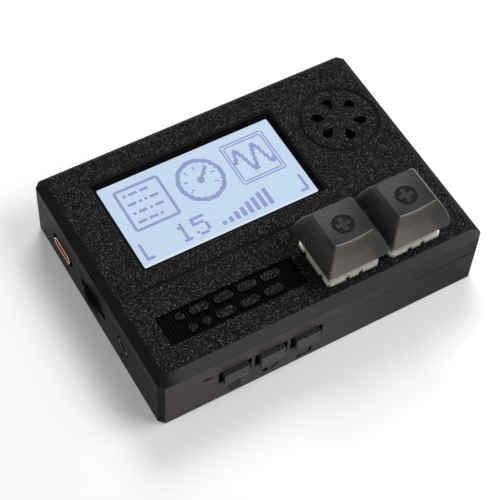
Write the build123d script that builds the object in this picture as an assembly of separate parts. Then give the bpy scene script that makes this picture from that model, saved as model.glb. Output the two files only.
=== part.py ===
import os
from math import acos, cos, pi, radians, sin, sqrt, tan

from build123d import *

# General fits
fit_gap = 0.03           # radial gap of a screw or pin seated in its hole
running_gap = 0.05       # radial gap of a shaft that turns or slides in its bore
moving_gap = 0.3         # room round a piece that moves past another
overrun = 1.0            # how far a cutting body reaches past the face it cuts

# Case
case_length = 97.0
case_width = 71.8
case_height = 20.9
split_height = 13.0
wall = 2.2
floor_thick = 2.0
roof_thick = 1.9
corner_chamfer = 1.6     # the upright corners
top_chamfer = 2.4        # the smooth slope round the top face
foot_chamfer = 0.4       # round the lower edge
seam_bevel = 0.18        # along the line where the two halves meet
lip_height = 1.5         # the tongue that lines up the two halves
lip_thick = 1.0
lip_gap = 0.12
groove_width = 1.08      # the V grooves of the top face
engraving_depth = 0.4

# Case screws, bosses and inserts
boss_inset = 5.7         # from the outer faces to a boss's axis
boss_wall = 0.9
boss_foot = 9.0          # where the cover's bosses meet the tray's screw tubes
tube_wall = 0.6
insert_radius = 2.1
insert_length = 5.0
case_screw_radius = 1.45
case_screw_length = 10.0
case_screw_head_radius = 2.8
case_screw_head_height = 1.9
counterbore_gap = 0.2
counterbore_depth = 2.6

# Display window and display
window_groove_gap = 6.45 # from the groove to the lit rectangle
window_bevel = 1.7
lcd_border_ends = 2.175  # of the glass, past the window
lcd_border_sides = 3.9
lcd_glass_thick = 1.8
lcd_backlight_thick = 2.6
lcd_backlight_margin = 0.6
lcd_board_side_margin = 1.8
lcd_board_end_margin = 0.05
lcd_board_thick = 1.2
lcd_post_radius = 1.6
lcd_post_gap = 0.5       # between the posts and the glass
lcd_post_inset = 3.1
lcd_screw_radius = 0.9
lcd_screw_length = 4.5
lcd_screw_head_radius = 1.7
lcd_screw_head_height = 1.2
lcd_header_pins = 9
lcd_header_shift = -4.0  # from the display's middle
lcd_boss_gap = 0.675     # room between the display's board and its neighbours
lcd_speaker_gap = 0.775
lcd_wall_gap = 0.6

# Straight groove and name panel
groove_end_margin = 7.5
groove_front_margin = 26.7
panel_left_margin = 8.0
panel_front_margin = 8.6
panel_key_gap = 3.6
panel_width = 9.15
panel_depth = 0.8
rib_width = 0.5
rib_pitch = 1.0
rib_height = 0.3
mark_width_share = 0.061 # of the panel's length
dash_length_share = 0.137
mark_gap_share = 0.04
mark_row_gap = 1.9

# Speaker and its grille
speaker_wall_gap = 1.0
speaker_back_margin = 21.3
grille_ring_radius = 10.85
drop_count = 6
drop_tip = 3.5           # distances from the grille's centre
drop_end = 7.7
drop_radius = 1.45
gasket_thick = 0.5
gasket_width = 1.4
speaker_radius = 11.0
speaker_flange_thick = 0.8
speaker_depth = 3.6
speaker_back_radius = 7.4
speaker_sheet = 0.6
cone_thick = 0.35
cone_dome_radius = 4.4
magnet_radius = 6.2
magnet_height = 2.2
seat_ring_wall = 1.0
seat_ring_height = 2.2
speaker_terminal_length = 2.0
speaker_terminal_width = 4.4
speaker_terminal_thick = 0.8

# Key switches
key_pitch = 19.05
key_boss_gap = 2.0       # from the key board to the right bosses
key_wall_gap = 1.85      # from the key board to the front wall
key_travel = 4.0
plate_thick = 1.5        # the cover is thinned to this round each switch
plate_pocket_margin = 1.5
switch_hole = 14.0
switch_fit = 0.05
switch_depth = 5.0       # below the top face
switch_flange_reach = 0.8
switch_flange_thick = 1.0
switch_flange_corner = 0.8
switch_notch_width = 1.3
switch_notch_depth = 0.5
switch_notch_offset = 2.0
switch_floor = 1.2
switch_wall = 1.0
switch_nub_radius = 2.0
switch_nub_length = 1.9
housing_height = 5.6     # above the flange
housing_inset = 0.7      # from the flange's edge
housing_top_length = 10.6
housing_top_width = 10.2
stem_length = 6.9        # the stem's block that shows through the housing
stem_width = 5.7
stem_gap = 0.15
stem_skirt_step = 0.65
stem_skirt_height = 3.2
stem_shoulder_drop = 0.1
cross_length = 4.0
cross_thick = 1.2
cross_height = 3.6
pole_radius = 0.9
pole_length = 3.0
pole_tube_radius = 1.5
spring_radius = 1.95
spring_wire_radius = 0.17
spring_turns = 5
contact_width = 1.5
leaf_thick = 0.2
fixed_contact_thick = 0.4
contact_height = 5.0
contact_wall_gap = 0.15
contact_foot_thick = 0.3
contact_pin_length = 3.3
contact_pin_width = 0.9
leaf_pin_x = -3.81       # pin places from the switch's centre
leaf_pin_y = 2.54
fixed_pin_x = 2.54
fixed_pin_y = 5.08

# Keycaps
keycap_space = 0.85      # between the two caps
keycap_base_corner = 0.7
keycap_top_length = 11.4
keycap_top_width = 11.2
keycap_top_corner = 0.9
keycap_bulge = 0.85      # of the sides, at half their height
keycap_shares = (0, 0.25, 0.5, 0.75, 1)
keycap_skirt = 6.0       # lower edge above the top face
keycap_height = 8.3
keycap_shift = 0.3       # how far the top leans to the back
keycap_wall = 1.2
keycap_roof = 1.9
keycap_dish = 0.85
keycap_boss_radius = 2.75

# Key board and its link
key_board_margin = 1.4   # past the switch bodies
key_board_thick = 1.6
key_header_pins_count = 3
key_header_shift = 4.0   # behind the switches' axes

# Main board
board_end_gap = 0.3      # to the left wall
board_side_gap = 0.5     # to the front and back walls
board_lead_margin = 1.6  # past the speaker's leads
board_tube_gap = 0.6
main_board_top = 7.3
main_board_thick = 1.6
board_post_radius = 2.6
board_screw_left_margin = 10.5
board_screw_right_margin = 3.5
board_screw_side_margin = 3.7
board_screw_radius = 0.95
board_screw_length = 4.6
board_screw_head_radius = 1.9
board_screw_head_height = 1.3
board_hole_radius = 1.15

# Pin headers
header_pitch = 2.54
header_block = 2.4
header_pin = 0.64
header_tail = 1.5

# Chips
chip_height = 1.2
chip_chamfer = 0.25
processor_size = 9.0
processor_left_margin = 28.0
processor_groove_gap = 8.8
amplifier_size = 4.0
amplifier_shift = 15.0   # right of the processor
amplifier_groove_gap = 7.3
charger_size = 3.0
charger_shift_x = 4.4    # from the charging socket's rear
charger_shift_y = -5.0

# Side buttons
first_button_margin = 21.5
button_pitch = 10.55
button_space = 1.55
button_board_gap = 0.45  # between the flange and the main board
button_top_gap = 0.4     # below the top cover
button_proud = 1.3
button_bevel = 0.3
button_front_inset = 0.75 # of its front face, from the full width
button_neck_inset = 1.6
button_flange_thick = 1.0
button_flange_step = 0.55
button_travel = 0.3
plunger_radius = 1.7
plunger_length = 1.1
tact_width = 6.0
tact_height = 5.4
tact_depth = 3.4
tact_bore_depth = 1.6
pry_slot_shift = 8.0     # left of the first button
pry_slot_width = 2.6
pry_slot_height = 0.7
pry_slot_depth = 1.2

# Pictograms of the front face
menu_icon_width = 3.9
menu_icon_line = 0.5
menu_icon_pitch = 0.95
menu_icon_lines = 4
icon_height = 3.3        # centre of the pictograms above the bottom
icon_stroke = 0.8
dot_radius = 0.9
slash_length = 3.0
slash_angle = 36.0
slash_offset = 2.6
arrow_length = 4.2
arrow_rise = 2.2
arrow_head = 1.5

# USB-C socket
usb_y_share = 0.529      # of the case's half width
usb_width = 8.94
usb_height = 3.2
usb_length = 7.3
usb_proud = 0.35
usb_sheet = 0.3
usb_opening_width = 11.4
usb_opening_height = 4.8
tongue_width = 6.7
tongue_thick = 0.7
tongue_setback = 0.9
tongue_root = 2.0
usb_contact_count = 12
usb_contact_pitch = 0.5
usb_contact_width = 0.25
usb_contact_thick = 0.08
usb_contact_length = 3.4
bolt_icon_height = 2.4
bolt_icon_width = 1.4
bolt_icon_shift = 2.0
bolt_icon_z = 2.9

# Volume wheel
wheel_y_share = 0.036    # of the case's half width
wheel_radius = 7.5
wheel_proud = 1.7
wheel_board_gap = 0.8
wheel_thick = 2.4
wheel_teeth = 56
wheel_tooth_depth = 0.3
wheel_tooth_shares = (0, 0.25, 0.5, 0.75)
wheel_roof = 0.9
wheel_cup_gap = 1.9
wheel_hub_radius = 1.5
pot_height = 1.9
pot_tail_length = 8.6
pot_tail_width = 7.0
pot_tail_thick = 0.5
wheel_screw_radius = 0.7
wheel_screw_length = 1.9
wheel_screw_head_radius = 1.5
wheel_screw_head_height = 0.7
wedge_length = 7.0
wedge_height = 1.1
wedge_z = 4.1

# Headphone jack
jack_y_share = -0.437    # of the case's half width
jack_bore = 1.8
jack_body_width = 6.4
jack_body_height = 5.2
jack_body_length = 12.6
jack_nose_wall = 0.4
jack_hole_gap = 0.4
jack_sleeve_wall = 0.5
jack_sleeve_length = 4.0
jack_tip_depth = 14.0
jack_contact_thick = 0.25
jack_contact_width = 0.7
jack_contact_length = 6.5
phones_icon_radius = 1.25
phones_icon_stroke = 0.45
phones_icon_z = 3.9

# Battery
battery_wheel_gap = 2.2
battery_lead_gap = 4.8
battery_groove_gap = 6.2
battery_back_margin = 4.2
battery_thick = 4.2
battery_edge = 1.6
pad_end_margin = 5.3
pad_side_margin = 5.0
pad_thick = 0.5
plug_end_margin = 3.6    # from the battery's right end
socket_width = 5.9
socket_depth = 5.0
socket_height = 4.4
socket_wall = 0.7
socket_groove_gap = 5.2
plug_reach = 1.6
plug_gap = 0.1
lead_radius = 0.45
lead_spacing = 2.0

# Speaker leads
speaker_lead_drop = 5.4
speaker_lead_run = 4.3
bend_share = 0.45

# Places worked out from the sizes above
roof_under = case_height - roof_thick
half_length = case_length / 2
half_width = case_width / 2
left_wall_inside = -half_length + wall
front_wall_inside = -half_width + wall
boss_x = half_length - boss_inset
boss_y = half_width - boss_inset
boss_radius = insert_radius + boss_wall
counterbore_radius = case_screw_head_radius + counterbore_gap
tube_radius = counterbore_radius + tube_wall
speaker_x = half_length - wall - speaker_wall_gap - speaker_radius
speaker_y = half_width - speaker_back_margin
speaker_seat_radius = speaker_radius + running_gap
groove_left = -half_length + groove_end_margin
groove_right = half_length - groove_end_margin
groove_back = -half_width + groove_front_margin
lcd_side_reach = lcd_border_sides + lcd_post_gap + 2 * lcd_post_radius + lcd_board_end_margin
lcd_end_reach = lcd_border_ends + lcd_board_side_margin
window_left = -boss_x + boss_radius + lcd_boss_gap + lcd_end_reach
window_right = speaker_x - speaker_seat_radius - seat_ring_wall - lcd_speaker_gap - lcd_end_reach
window_front = groove_back + window_groove_gap
window_back = half_width - wall - lcd_wall_gap - lcd_side_reach
lcd_glass_length = window_right - window_left + 2 * lcd_border_ends
lcd_glass_width = window_back - window_front + 2 * lcd_border_sides
lcd_x = (window_left + window_right) / 2
lcd_y = (window_front + window_back) / 2
backlight_top = roof_under - lcd_glass_thick
lcd_board_top = backlight_top - lcd_backlight_thick
lcd_board_bottom = lcd_board_top - lcd_board_thick
lcd_post_span_y = lcd_glass_width + 2 * (lcd_post_radius + lcd_post_gap)
lcd_board_width = lcd_post_span_y + 2 * (lcd_post_radius + lcd_board_end_margin)
lcd_board_length = lcd_glass_length + 2 * lcd_board_side_margin
lcd_post_span_x = lcd_board_length - 2 * lcd_post_inset
lcd_board_front = lcd_y - lcd_board_width / 2
switch_bottom = case_height - switch_depth
switch_body = switch_hole - 2 * switch_fit
switch_flange = switch_hole + 2 * switch_flange_reach
plate_pocket = switch_hole + 2 * plate_pocket_margin
housing_base = switch_flange - 2 * housing_inset
key_board_half = switch_body / 2 + key_board_margin
key_y = front_wall_inside + key_wall_gap + key_board_half
right_key_x = boss_x - boss_radius - key_boss_gap - key_board_half
left_key_x = right_key_x - key_pitch
panel_left = -half_length + panel_left_margin
panel_right = left_key_x - switch_flange / 2 - panel_key_gap
panel_front = -half_width + panel_front_margin
panel_back = panel_front + panel_width
mark_width = mark_width_share * (panel_right - panel_left)
dash_length = dash_length_share * (panel_right - panel_left)
mark_gap = mark_gap_share * (panel_right - panel_left)
flange_top = case_height + switch_flange_thick
housing_top = flange_top + housing_height
stem_shoulder = housing_top - stem_shoulder_drop
stem_skirt_top = housing_top - switch_wall - stem_gap
stem_bottom = stem_skirt_top - stem_skirt_height
switch_floor_top = switch_bottom + switch_floor
cross_top = stem_shoulder + cross_height
keycap_base = key_pitch - keycap_space
keycap_bottom = case_height + keycap_skirt
keycap_top = keycap_bottom + keycap_height
key_board_bottom = switch_bottom - key_board_thick
key_header_x = left_key_x + key_pitch / 2
key_header_y = key_y + key_header_shift
main_board_bottom = main_board_top - main_board_thick
button_top = split_height - button_top_gap
button_bottom = main_board_top + button_board_gap + button_flange_step
button_width = button_pitch - button_space
button_mid_z = (button_bottom + button_top) / 2
button_notch_width = button_width + 2 * moving_gap
button_notch_floor = button_bottom - moving_gap
button_flange_width = button_width + 2 * button_flange_step
wheel_x = -half_length - wheel_proud + wheel_radius
wheel_y = wheel_y_share * half_width
wheel_bottom = main_board_top + wheel_board_gap
wheel_top = wheel_bottom + wheel_thick
pot_radius = wheel_x - left_wall_inside - moving_gap
wheel_cup_radius = pot_radius + wheel_cup_gap
wheel_slot_half = sqrt(wheel_radius ** 2 - (left_wall_inside - wheel_x) ** 2) + moving_gap
usb_z = main_board_top + usb_height / 2
usb_front_x = -half_length - usb_proud
usb_y = usb_y_share * half_width
jack_y = jack_y_share * half_width
jack_z = main_board_top + jack_body_height / 2
jack_sleeve_radius = jack_bore + jack_sleeve_wall
jack_nose_radius = jack_sleeve_radius + jack_nose_wall
jack_hole_radius = jack_nose_radius + jack_hole_gap
speaker_lead_x = speaker_x - (speaker_radius - gasket_width)
speaker_lead_end_x = speaker_lead_x - speaker_lead_run
main_board_left = left_wall_inside + board_end_gap
main_board_right = speaker_lead_end_x + board_lead_margin
main_board_half_width = half_width - wall - board_side_gap
board_notch_x = -boss_x + tube_radius + board_tube_gap
board_notch_y = boss_y - tube_radius - board_tube_gap
board_screw_left = main_board_left + board_screw_left_margin
board_screw_right = main_board_right - board_screw_right_margin
board_screw_y = main_board_half_width - board_screw_side_margin
processor_x = main_board_left + processor_left_margin
processor_y = groove_back - processor_groove_gap
amplifier_x = processor_x + amplifier_shift
amplifier_y = groove_back - amplifier_groove_gap
charger_x = usb_front_x + usb_length + charger_shift_x
charger_y = usb_y + charger_shift_y
battery_left = wheel_x + wheel_radius + battery_wheel_gap
battery_length = speaker_lead_end_x - battery_lead_gap - battery_left
battery_front = groove_back + battery_groove_gap
battery_width = main_board_half_width - battery_back_margin - battery_front
battery_plug_x = battery_left + battery_length - plug_end_margin
socket_front = groove_back - socket_groove_gap
first_button_x = -half_length + first_button_margin
pry_slot_centre = first_button_x - pry_slot_shift
boss_places = [(sx * boss_x, sy * boss_y) for sx in (-1, 1) for sy in (-1, 1)]
board_screw_places = [(x, sy * board_screw_y) for x in (board_screw_left, board_screw_right)
                      for sy in (-1, 1)]
lcd_post_places = [(lcd_x + sx * lcd_post_span_x / 2, lcd_y + sy * lcd_post_span_y / 2)
                   for sx in (-1, 1) for sy in (-1, 1)]
button_places = [first_button_x + n * button_pitch for n in range(3)]
key_places = {"left": left_key_x, "right": right_key_x}


def block(x_low, x_high, y_low, y_high, z_low, z_high):
    return Pos(x_low, y_low, z_low) * Box(x_high - x_low, y_high - y_low, z_high - z_low,
                                          align=(Align.MIN, Align.MIN, Align.MIN))


def drum(x, y, z_low, z_high, radius):
    return Pos(x, y, z_low) * Cylinder(radius, z_high - z_low,
                                       align=(Align.CENTER, Align.CENTER, Align.MIN))


def rod_x(x_low, x_high, y, z, radius):
    return Pos(x_low, y, z) * Rot(0, 90, 0) * Cylinder(
        radius, x_high - x_low, align=(Align.CENTER, Align.CENTER, Align.MIN))


def rod_y(x, y_low, y_high, z, radius):
    return Pos(x, y_low, z) * Rot(-90, 0, 0) * Cylinder(
        radius, y_high - y_low, align=(Align.CENTER, Align.CENTER, Align.MIN))


def outline(inset, corner):
    length = case_length - 2 * inset
    width = case_width - 2 * inset
    return chamfer(Rectangle(length, width).vertices(), corner)


def inner_block(inset, z_low, z_high):
    return block(-half_length + inset, half_length - inset,
                 -half_width + inset, half_width - inset, z_low, z_high)


def front_plane():
    return Plane(origin=(0, -half_width, 0), x_dir=(1, 0, 0), z_dir=(0, -1, 0))


def left_plane():
    return Plane(origin=(-half_length, 0, 0), x_dir=(0, -1, 0), z_dir=(-1, 0, 0))


def engraved(plane, sketch):
    return extrude(plane * sketch, amount=-engraving_depth)


def v_groove_line():
    depth = groove_width / 2
    reach = depth + overrun
    middle = groove_back - depth
    across = Plane.YZ.offset(groove_left - overrun) * make_face(Polyline(
        (middle, case_height - depth), (middle + reach, case_height + overrun),
        (middle - reach, case_height + overrun), close=True))
    along = Plane.XZ.offset(-groove_back - overrun) * make_face(Polyline(
        (groove_left + depth, case_height - depth), (groove_right - depth, case_height - depth),
        (groove_right + overrun, case_height + overrun),
        (groove_left - overrun, case_height + overrun), close=True))
    prism = extrude(across, amount=groove_right - groove_left + 2 * overrun)
    ends = extrude(along, amount=groove_width + 2 * overrun)
    return prism & ends


def v_groove_ring():
    depth = groove_width / 2
    reach = depth + overrun
    section = Plane.XZ * make_face(Polyline(
        (grille_ring_radius, case_height - depth),
        (grille_ring_radius + reach, case_height + overrun),
        (grille_ring_radius - reach, case_height + overrun), close=True))
    return Pos(speaker_x, speaker_y, 0) * revolve(section, Axis.Z)


def grille_drops():
    centre = drop_end - drop_radius
    swing = acos(drop_radius / (centre - drop_tip))
    touch = (centre - drop_radius * cos(swing), drop_radius * sin(swing))
    drop = Pos(centre, 0) * Circle(drop_radius) + make_face(Polyline(
        (drop_tip, 0), touch, (centre, 0), (touch[0], -touch[1]), close=True))
    hole = extrude(drop, amount=roof_thick + 2 * overrun)
    turns = [360 / drop_count * (n + 0.5) for n in range(drop_count)]
    return [Pos(speaker_x, speaker_y, roof_under - overrun) * Rot(0, 0, turn) * hole
            for turn in turns]


def window_cut():
    length = window_right - window_left
    width = window_back - window_front
    spread = 2 * (window_bevel + overrun)
    low = Pos(lcd_x, lcd_y, case_height - window_bevel) * Rectangle(length, width)
    high = Pos(lcd_x, lcd_y, case_height + overrun) * Rectangle(length + spread, width + spread)
    through = block(window_left, window_right, window_front, window_back,
                    roof_under - overrun, case_height)
    return loft([low, high], ruled=True) + through


def mark_row(marks, y):
    lengths = [dash_length if long else mark_width for long in marks]
    x = (panel_left + panel_right) / 2 - (sum(lengths) + mark_gap * (len(marks) - 1)) / 2
    solids = []
    for length in lengths:
        shape = Circle(mark_width / 2) if length == mark_width else SlotOverall(length, mark_width)
        place = Pos(x + length / 2, y, case_height - panel_depth)
        solids.append(place * extrude(shape, amount=panel_depth))
        x += length + mark_gap
    return solids


def panel_cut():
    floor = case_height - panel_depth
    cut = block(panel_left, panel_right, panel_front, panel_back, floor, case_height + overrun)
    count = int((panel_right - panel_left) / rib_pitch)
    first = (panel_left + panel_right) / 2 - rib_pitch * (count - 1) / 2
    ribs = [block(first + n * rib_pitch - rib_width / 2, first + n * rib_pitch + rib_width / 2,
                  panel_front, panel_back, floor, floor + rib_height) for n in range(count)]
    middle = (panel_front + panel_back) / 2
    row = (mark_width + mark_row_gap) / 2
    marks = mark_row((0, 1, 1, 1, 1), middle + row) + mark_row((0, 0, 1, 1, 1), middle - row)
    return cut - ribs - marks


def top_cover():
    slope_foot = case_height - top_chamfer
    shell = loft([Plane.XY.offset(split_height) * outline(seam_bevel, corner_chamfer),
                  Plane.XY.offset(split_height + seam_bevel) * outline(0, corner_chamfer)], ruled=True)
    shell += extrude(Plane.XY.offset(split_height + seam_bevel) * outline(0, corner_chamfer),
                     amount=slope_foot - split_height - seam_bevel)
    shell += loft([Plane.XY.offset(slope_foot) * outline(0, corner_chamfer),
                   Plane.XY.offset(case_height) * outline(top_chamfer, corner_chamfer)], ruled=True)
    shell -= inner_block(wall, split_height - overrun, roof_under)
    rebate = wall - lip_thick - lip_gap
    shell -= inner_block(rebate, split_height - overrun, split_height + lip_height + lip_gap)
    shell += [drum(x, y, boss_foot, roof_under, boss_radius) for x, y in boss_places]
    shell += [drum(x, y, lcd_board_top, roof_under, lcd_post_radius) for x, y in lcd_post_places]
    seat_inner = speaker_seat_radius
    seat = drum(speaker_x, speaker_y, roof_under - seat_ring_height, roof_under,
                seat_inner + seat_ring_wall)
    seat -= drum(speaker_x, speaker_y, roof_under - seat_ring_height - overrun, roof_under,
                 seat_inner)
    shell += seat
    shell -= window_cut()
    shell -= v_groove_line()
    shell -= v_groove_ring()
    shell -= grille_drops()
    shell -= panel_cut()
    for x in key_places.values():
        half = switch_hole / 2
        shell -= block(x - half, x + half, key_y - half, key_y + half,
                       roof_under - overrun, case_height + overrun)
        half = plate_pocket / 2
        shell -= block(x - half, x + half, key_y - half, key_y + half,
                       roof_under - overrun, case_height - plate_thick)
    for x, y in boss_places:
        shell -= drum(x, y, boss_foot - overrun, boss_foot + insert_length + overrun, insert_radius)
    for x, y in lcd_post_places:
        shell -= drum(x, y, lcd_board_top - overrun, lcd_board_top + lcd_screw_length,
                      lcd_screw_radius + fit_gap)
    return shell


def menu_icon(x):
    middle = (menu_icon_lines - 1) / 2
    lines = [Pos(x, icon_height + (n - middle) * menu_icon_pitch)
             * Rectangle(menu_icon_width, menu_icon_line) for n in range(menu_icon_lines)]
    return Sketch() + lines


def dot_dash_icon(x):
    dot = Pos(x - slash_offset / 2, icon_height) * Circle(dot_radius)
    slash = Pos(x + slash_offset / 2, icon_height) * Rot(0, 0, slash_angle) * SlotOverall(
        slash_length, icon_stroke)
    return dot + slash


def return_icon(x):
    left = x - arrow_length / 2
    low = icon_height - arrow_rise / 2
    shaft = Pos(x, low) * Rectangle(arrow_length, icon_stroke)
    riser = Pos(x + (arrow_length - icon_stroke) / 2, icon_height) * Rectangle(
        icon_stroke, arrow_rise)
    head = make_face(Polyline((left - arrow_head / 2, low), (left + arrow_head / 2, low + arrow_head / 2),
                              (left + arrow_head / 2, low - arrow_head / 2), close=True))
    return shaft + riser + head


def bolt_icon():
    # A zigzag flash beside the charging socket
    half_w = bolt_icon_width / 2
    half_h = bolt_icon_height / 2
    return Pos(bolt_icon_shift - usb_y, bolt_icon_z) * make_face(Polyline(
        (half_w / 2, half_h), (-half_w, -half_h / 4), (0, -half_h / 4), (-half_w / 2, -half_h),
        (half_w, half_h / 4), (0, half_h / 4), close=True))


def wedge_icon():
    return Pos(-wheel_y, wedge_z) * make_face(Polyline(
        (-wedge_length / 2, -wedge_height / 2), (wedge_length / 2, -wedge_height / 2),
        (wedge_length / 2, wedge_height / 2), close=True))


def phones_icon():
    band = Circle(phones_icon_radius + phones_icon_stroke / 2)
    band -= Circle(phones_icon_radius - phones_icon_stroke / 2)
    band -= Pos(0, -phones_icon_radius - phones_icon_stroke) * Rectangle(
        4 * phones_icon_radius, 2 * (phones_icon_radius + phones_icon_stroke))
    cups = [Pos(side * phones_icon_radius, -phones_icon_stroke) * Rectangle(
        2 * phones_icon_stroke, 3 * phones_icon_stroke) for side in (-1, 1)]
    return Pos(-jack_y, phones_icon_z) * (band + cups)


def button_notches():
    half = button_notch_width / 2
    return [block(x - half, x + half, -half_width - overrun, front_wall_inside + overrun,
                  button_notch_floor, split_height + lip_height + overrun) for x in button_places]


def lip():
    ring = inner_block(wall - lip_thick, split_height, split_height + lip_height)
    ring -= inner_block(wall, split_height - overrun, split_height + lip_height + overrun)
    reach = button_flange_width / 2 + moving_gap
    ring -= block(button_places[0] - reach, button_places[-1] + reach, -half_width,
                  front_wall_inside + overrun, split_height - overrun,
                  split_height + lip_height + overrun)
    return ring


def bottom_case():
    tray = extrude(Plane.XY.offset(foot_chamfer) * outline(0, corner_chamfer),
                   amount=split_height - seam_bevel - foot_chamfer)
    tray += loft([Plane.XY.offset(split_height - seam_bevel) * outline(0, corner_chamfer),
                  Plane.XY.offset(split_height) * outline(seam_bevel, corner_chamfer)], ruled=True)
    tray += loft([Plane.XY * outline(foot_chamfer, corner_chamfer),
                  Plane.XY.offset(foot_chamfer) * outline(0, corner_chamfer)], ruled=True)
    tray -= inner_block(wall, floor_thick, split_height + overrun)
    tray += lip()
    tray += [drum(x, y, floor_thick, boss_foot, tube_radius) for x, y in boss_places]
    tray += [drum(x, y, floor_thick, main_board_bottom, board_post_radius)
             for x, y in board_screw_places]
    tray -= inner_block(-overrun, boss_foot, case_height) & [
        drum(x, y, boss_foot, split_height + lip_height + overrun, boss_radius + lip_gap)
        for x, y in boss_places]
    for x, y in boss_places:
        tray -= drum(x, y, -overrun, boss_foot + overrun, case_screw_radius + moving_gap)
        tray -= drum(x, y, -overrun, counterbore_depth, counterbore_radius)
    for x, y in board_screw_places:
        tray -= drum(x, y, main_board_bottom - board_screw_length + main_board_thick,
                     main_board_bottom + overrun, board_screw_radius + fit_gap)
    tray -= button_notches()
    tray -= block(pry_slot_centre - pry_slot_width / 2, pry_slot_centre + pry_slot_width / 2,
                  -half_width - overrun, -half_width + pry_slot_depth,
                  split_height - pry_slot_height, split_height + overrun)
    usb_slot = Plane(origin=(left_wall_inside + overrun, usb_y, usb_z), x_dir=(0, -1, 0),
                     z_dir=(-1, 0, 0)) * SlotOverall(usb_opening_width, usb_opening_height)
    tray -= extrude(usb_slot, amount=wall + 2 * overrun)
    tray -= block(-half_length - overrun, left_wall_inside + overrun,
                  wheel_y - wheel_slot_half, wheel_y + wheel_slot_half,
                  wheel_bottom - moving_gap, wheel_top + moving_gap)
    tray -= rod_x(-half_length - overrun, left_wall_inside + overrun, jack_y, jack_z,
                  jack_hole_radius)
    front = front_plane()
    tray -= engraved(front, menu_icon(button_places[0]))
    tray -= engraved(front, dot_dash_icon(button_places[1]))
    tray -= engraved(front, return_icon(button_places[2]))
    left = left_plane()
    tray -= engraved(left, bolt_icon())
    tray -= engraved(left, wedge_icon())
    tray -= engraved(left, phones_icon())
    return tray


def case_screws():
    screws = []
    for x, y in boss_places:
        screw = drum(x, y, counterbore_depth, counterbore_depth + case_screw_length,
                     case_screw_radius)
        head = drum(x, y, counterbore_depth - case_screw_head_height, counterbore_depth,
                    case_screw_head_radius)
        slot_depth = case_screw_head_height / 2
        cross = block(x - case_screw_radius, x + case_screw_radius, y - slot_depth / 4,
                      y + slot_depth / 4, counterbore_depth - case_screw_head_height - overrun,
                      counterbore_depth - slot_depth)
        screws.append(screw + head - cross - Pos(x, y, 0) * Rot(0, 0, 90) * Pos(-x, -y, 0) * cross)
    return screws


def threaded_inserts():
    inserts = []
    for x, y in boss_places:
        tube = drum(x, y, boss_foot, boss_foot + insert_length, insert_radius - fit_gap)
        inserts.append(tube - drum(x, y, boss_foot - overrun, boss_foot + insert_length + overrun,
                                   case_screw_radius + fit_gap))
    return inserts


def lcd_glass():
    return Pos(lcd_x, lcd_y, backlight_top) * extrude(
        Rectangle(lcd_glass_length, lcd_glass_width), amount=lcd_glass_thick)


def lcd_backlight():
    return Pos(lcd_x, lcd_y, lcd_board_top) * extrude(
        Rectangle(lcd_glass_length - lcd_backlight_margin, lcd_glass_width - lcd_backlight_margin),
        amount=lcd_backlight_thick)


def lcd_header_row():
    first = lcd_x + lcd_header_shift - header_pitch * (lcd_header_pins - 1) / 2
    return [first + n * header_pitch for n in range(lcd_header_pins)]


def lcd_header_y():
    return lcd_board_front + header_block


def lcd_board():
    board = Pos(lcd_x, lcd_y, lcd_board_bottom) * extrude(
        Rectangle(lcd_board_length, lcd_board_width), amount=lcd_board_thick)
    board -= [drum(x, y, lcd_board_bottom - overrun, lcd_board_top + overrun,
                   lcd_screw_radius + moving_gap) for x, y in lcd_post_places]
    half = header_pin / 2 + fit_gap
    board -= [block(x - half, x + half, lcd_header_y() - half, lcd_header_y() + half,
                    lcd_board_bottom - overrun, lcd_board_top + overrun) for x in lcd_header_row()]
    return board


def lcd_screws():
    return [drum(x, y, lcd_board_bottom, lcd_board_top + lcd_screw_length - moving_gap,
                 lcd_screw_radius)
            + drum(x, y, lcd_board_bottom - lcd_screw_head_height, lcd_board_bottom,
                   lcd_screw_head_radius) for x, y in lcd_post_places]


def header(places, z_low, z_high, along_x):
    # A plastic block between two boards, and the square pins that run through it
    xs = [x for x, y in places]
    ys = [y for x, y in places]
    side = header_block / 2
    span = header_pitch / 2
    reach_x, reach_y = (span, side) if along_x else (side, span)
    body = block(min(xs) - reach_x, max(xs) + reach_x, min(ys) - reach_y, max(ys) + reach_y,
                 z_low, z_high)
    half = header_pin / 2
    hole = half + fit_gap
    body -= [block(x - hole, x + hole, y - hole, y + hole, z_low - overrun, z_high + overrun)
             for x, y in places]
    pins = [block(x - half, x + half, y - half, y + half, z_low - header_tail, z_high + header_tail)
            for x, y in places]
    return body, pins


def lcd_header():
    return header([(x, lcd_header_y()) for x in lcd_header_row()], main_board_top,
                  lcd_board_bottom, True)


def key_header_places():
    return [(key_header_x, key_header_y + (n - 1) * header_pitch)
            for n in range(key_header_pins_count)]


def key_header():
    return header(key_header_places(), main_board_top, key_board_bottom, False)


def contact_places(x, pin_x, pin_y):
    # The pin, and the blade that stands against the back wall inside the base
    inner_back = key_y + switch_body / 2 - switch_wall
    return x + pin_x, key_y + pin_y, inner_back - contact_wall_gap


def pin_slots(x, z_low, z_high, gap):
    slots = []
    for pin_x, pin_y, thick in ((leaf_pin_x, leaf_pin_y, leaf_thick),
                                (fixed_pin_x, fixed_pin_y, fixed_contact_thick)):
        px, py = contact_places(x, pin_x, pin_y)[:2]
        half_x = contact_pin_width / 2 + gap
        half_y = thick / 2 + gap
        slots.append(block(px - half_x, px + half_x, py - half_y, py + half_y, z_low, z_high))
    return slots


def key_board():
    board = block(left_key_x - key_board_half, right_key_x + key_board_half,
                  key_y - key_board_half, key_y + key_board_half,
                  key_board_bottom, switch_bottom)
    for x in key_places.values():
        board -= drum(x, key_y, key_board_bottom - overrun, switch_bottom + overrun,
                      switch_nub_radius + running_gap)
        board -= pin_slots(x, key_board_bottom - overrun, switch_bottom + overrun, fit_gap)
    half = header_pin / 2 + fit_gap
    board -= [block(px - half, px + half, py - half, py + half, key_board_bottom - overrun,
                    switch_bottom + overrun) for px, py in key_header_places()]
    return board


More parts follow.
